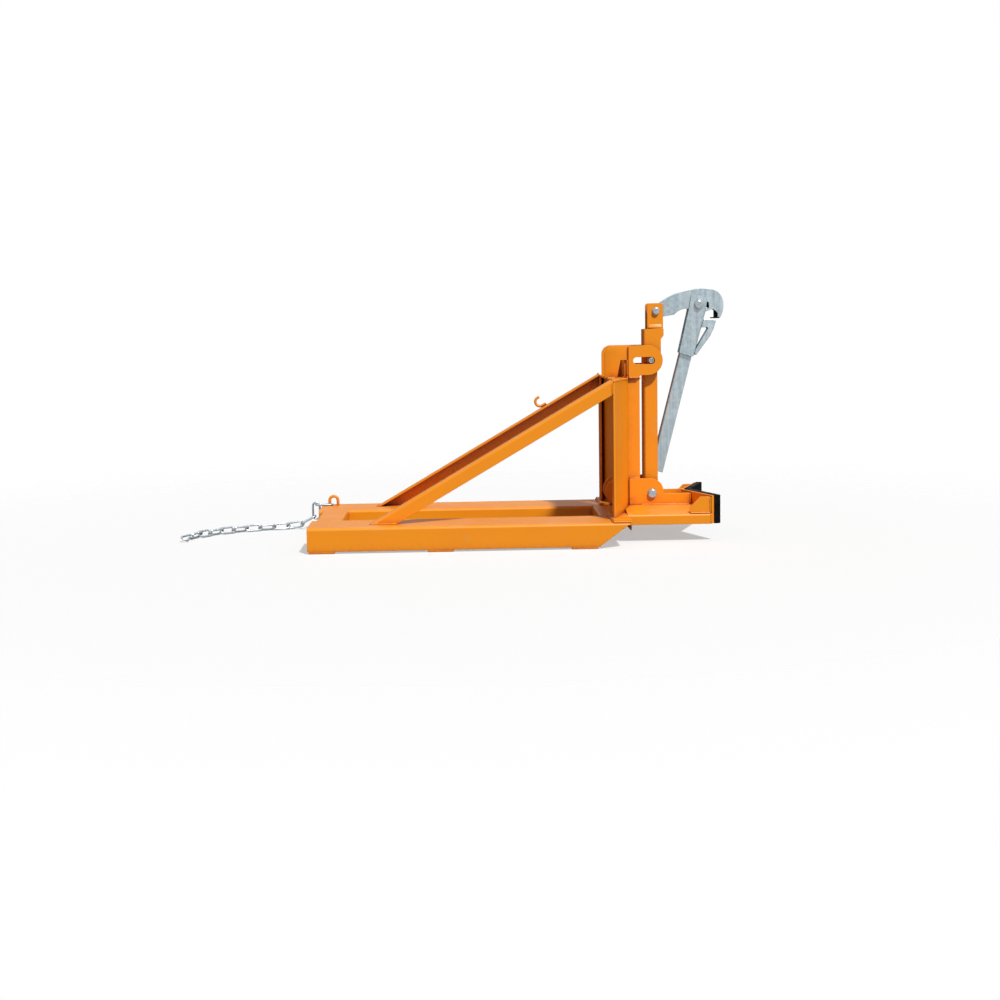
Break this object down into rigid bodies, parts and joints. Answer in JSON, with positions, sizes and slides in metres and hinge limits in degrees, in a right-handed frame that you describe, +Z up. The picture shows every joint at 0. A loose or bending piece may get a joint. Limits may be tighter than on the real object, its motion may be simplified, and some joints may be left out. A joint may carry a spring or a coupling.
{
  "type": "forklift drum clamp",
  "caption": "Drum clamp for lifting arms: two long channels, braced folded mast, V cradle with rubber pads, swinging upright with a hinged beak, and a safety chain.",
  "frame": {"origin": "centre of the bounding box at the underside of the straps", "axes": "+X along the channels towards the drum, +Z up, Y across"},
  "size_m": [1.7755, 0.67, 0.7964],
  "materials": {
    "orange_paint": "satin",
    "galvanised_steel": "satin",
    "zinc_bolt": "satin",
    "black_rubber": "matte"
  },
  "bodies": {
    "frame": {"near_pocket": "orange_paint", "far_pocket": "orange_paint", "near_strap_1": "orange_paint", "near_strap_2": "orange_paint", "near_strap_3": "orange_paint", "far_strap_1": "orange_paint", "far_strap_2": "orange_paint", "far_strap_3": "orange_paint", "rear_cross_member": "orange_paint", "front_cross_member": "orange_paint", "near_brace": "orange_paint", "far_brace": "orange_paint", "near_foot_plate": "orange_paint", "far_foot_plate": "orange_paint", "near_mast_side": "orange_paint", "far_mast_side": "orange_paint", "mast_cap": "orange_paint", "near_upper_stay": "orange_paint", "far_upper_stay": "orange_paint", "near_slotted_ear": "orange_paint", "far_slotted_ear": "orange_paint", "near_lower_stay": "orange_paint", "far_lower_stay": "orange_paint", "near_pivot_cheek": "orange_paint", "far_pivot_cheek": "orange_paint", "saddle_arm": "orange_paint", "cradle_plate": "orange_paint", "near_cradle_gusset": "orange_paint", "far_cradle_gusset": "orange_paint", "near_cradle_pad": "black_rubber", "far_cradle_pad": "black_rubber", "lower_pivot_bolt": "zinc_bolt", "chain_eye": "orange_paint", "brace_hook": "orange_paint"},
    "upright": {"upright": "orange_paint", "near_head_plate": "orange_paint", "far_head_plate": "orange_paint", "slot_bolt": "zinc_bolt", "jaw_bolt": "zinc_bolt"},
    "jaw": {"near_jaw_plate": "galvanised_steel", "far_jaw_plate": "galvanised_steel", "jaw_tooth": "black_rubber", "lever_bolt": "zinc_bolt"},
    "lever": {"lever_channel": "galvanised_steel", "lever_bar": "galvanised_steel", "lower_catch": "galvanised_steel"},
    "chain_link_01": {"chain_link_01": "galvanised_steel"},
    "chain_link_02": {"chain_link_02": "galvanised_steel"},
    "chain_link_03": {"chain_link_03": "galvanised_steel"},
    "chain_link_04": {"chain_link_04": "galvanised_steel"},
    "chain_link_05": {"chain_link_05": "galvanised_steel"},
    "chain_link_06": {"chain_link_06": "galvanised_steel"},
    "chain_link_07": {"chain_link_07": "galvanised_steel"},
    "chain_link_08": {"chain_link_08": "galvanised_steel"},
    "chain_link_09": {"chain_link_09": "galvanised_steel"},
    "chain_link_10": {"chain_link_10": "galvanised_steel"},
    "chain_link_11": {"chain_link_11": "galvanised_steel"},
    "chain_link_12": {"chain_link_12": "galvanised_steel"},
    "snap_hook": {"snap_hook": "galvanised_steel"},
    "snap_gate": {"snap_gate": "galvanised_steel"}
  },
  "joints": [
    {"name": "upright_swing", "type": "hinge", "parent": "frame", "child": "upright", "pos_m": [0.6477, 0, 0.141], "axis": [0, -1, 0], "range_deg": [0, 6]},
    {"name": "jaw_pivot", "type": "hinge", "parent": "upright", "child": "jaw", "pos_m": [0.6672, 0, 0.726], "axis": [0, -1, 0], "range_deg": [0, 25]},
    {"name": "lever_pivot", "type": "hinge", "parent": "jaw", "child": "lever", "pos_m": [0.8061, 0, 0.7445], "axis": [0, -1, 0], "range_deg": [-2, 3.5]},
    {"name": "link_01_turn", "type": "hinge", "parent": "frame", "child": "chain_link_01", "pos_m": [-0.4197, 0.285, 0.084], "axis": [0, 0, 1], "range_deg": [-8, 8]},
    {"name": "link_02_swing", "type": "hinge", "parent": "chain_link_01", "child": "chain_link_02", "pos_m": [-0.4667, 0.285, 0.0838], "axis": [0, 1, 0], "range_deg": [-3, 15]},
    {"name": "link_03_swing", "type": "hinge", "parent": "chain_link_02", "child": "chain_link_03", "pos_m": [-0.47685, 0.285, 0.0416], "axis": [0.4695, 0, -0.8829], "range_deg": [-8, 8]},
    {"name": "link_04_swing", "type": "hinge", "parent": "chain_link_03", "child": "chain_link_04", "pos_m": [-0.51947, 0.28415, 0.01894], "axis": [0.0649, -0.9973, 0.0345], "range_deg": [-9, 12]},
    {"name": "link_05_swing", "type": "hinge", "parent": "chain_link_04", "child": "chain_link_05", "pos_m": [-0.5672, 0.27992, 0.0137], "axis": [-0.0663, 0.5058, -0.8601], "range_deg": [-12, 12]},
    {"name": "link_06_swing", "type": "hinge", "parent": "chain_link_05", "child": "chain_link_06", "pos_m": [-0.61457, 0.27082, 0.01182], "axis": [0.2315, -0.7343, -0.6381], "range_deg": [-12, 12]},
    {"name": "link_07_swing", "type": "hinge", "parent": "chain_link_06", "child": "chain_link_07", "pos_m": [-0.66036, 0.2556, 0.01257], "axis": [-0.3001, 0.6436, -0.7041], "range_deg": [-12, 12]},
    {"name": "link_08_swing", "type": "hinge", "parent": "chain_link_07", "child": "chain_link_08", "pos_m": [-0.70377, 0.23452, 0.01182], "axis": [0.3816, -0.5989, -0.7041], "range_deg": [-12, 12]},
    {"name": "link_09_swing", "type": "hinge", "parent": "chain_link_08", "child": "chain_link_09", "pos_m": [-0.74406, 0.20796, 0.01257], "axis": [-0.4565, 0.544, -0.7041], "range_deg": [-12, 12]},
    {"name": "link_10_swing", "type": "hinge", "parent": "chain_link_09", "child": "chain_link_10", "pos_m": [-0.78053, 0.17637, 0.01182], "axis": [0.5236, -0.4798, -0.7041], "range_deg": [-12, 12]},
    {"name": "link_11_swing", "type": "hinge", "parent": "chain_link_10", "child": "chain_link_11", "pos_m": [-0.81258, 0.14028, 0.01257], "axis": [-0.5817, 0.4073, -0.7041], "range_deg": [-12, 12]},
    {"name": "link_12_swing", "type": "hinge", "parent": "chain_link_11", "child": "chain_link_12", "pos_m": [-0.83964, 0.10033, 0.01182], "axis": [0.6299, -0.3279, -0.7041], "range_deg": [-12, 12]},
    {"name": "hook_swing", "type": "hinge", "parent": "chain_link_12", "child": "snap_hook", "pos_m": [-0.86125, 0.05718, 0.01257], "axis": [-0.6673, 0.2429, -0.7041], "range_deg": [-15, 15]},
    {"name": "gate_hinge", "type": "hinge", "parent": "snap_hook", "child": "snap_gate", "pos_m": [-0.86492, 0.0433, 0.01183], "axis": [-0.4698, 0.171, -0.866], "range_deg": [0, 25], "stiffness_Nm_per_rad": 0.02}
  ]
}
